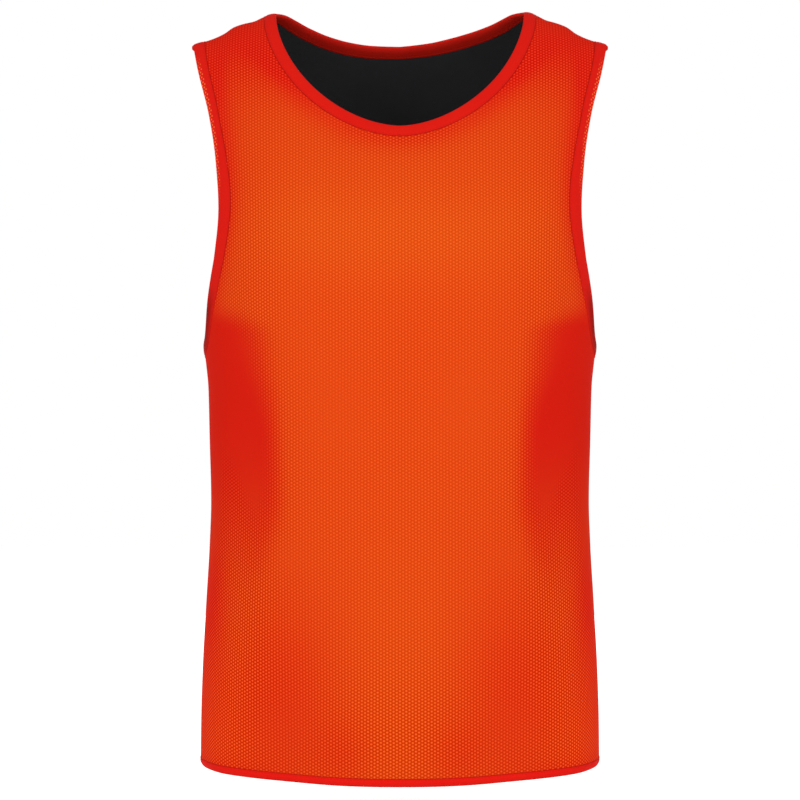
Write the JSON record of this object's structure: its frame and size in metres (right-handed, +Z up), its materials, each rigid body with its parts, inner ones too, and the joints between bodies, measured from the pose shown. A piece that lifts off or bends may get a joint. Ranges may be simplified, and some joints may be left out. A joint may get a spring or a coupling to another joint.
{
  "type": "reversible training bib",
  "caption": "Hollow worn training bib of double cloth, mesh outside and smooth inside, with bound neck and armholes.",
  "frame": {"origin": "midway between the two shoulder seams at the neck, where the wearer's shoulders carry the bib", "axes": "+Z up along the body, front towards -Y, right as seen from the front, which is the wearer's left, towards +X"},
  "size_m": [0.3828, 0.2565, 0.697],
  "materials": {
    "outer_mesh": "red-orange polyester mesh with small lighter cells",
    "inner_cloth": "smooth black polyester",
    "binding": "plain red folded strip, slight sheen"
  },
  "bodies": {
    "root": {"front_outer": "outer_mesh", "back_outer": "outer_mesh", "front_inner": "inner_cloth", "back_inner": "inner_cloth", "neck_binding": "binding", "armhole_binding_right": "binding", "armhole_binding_left": "binding", "hem_band": "binding"}
  },
  "joints": []
}
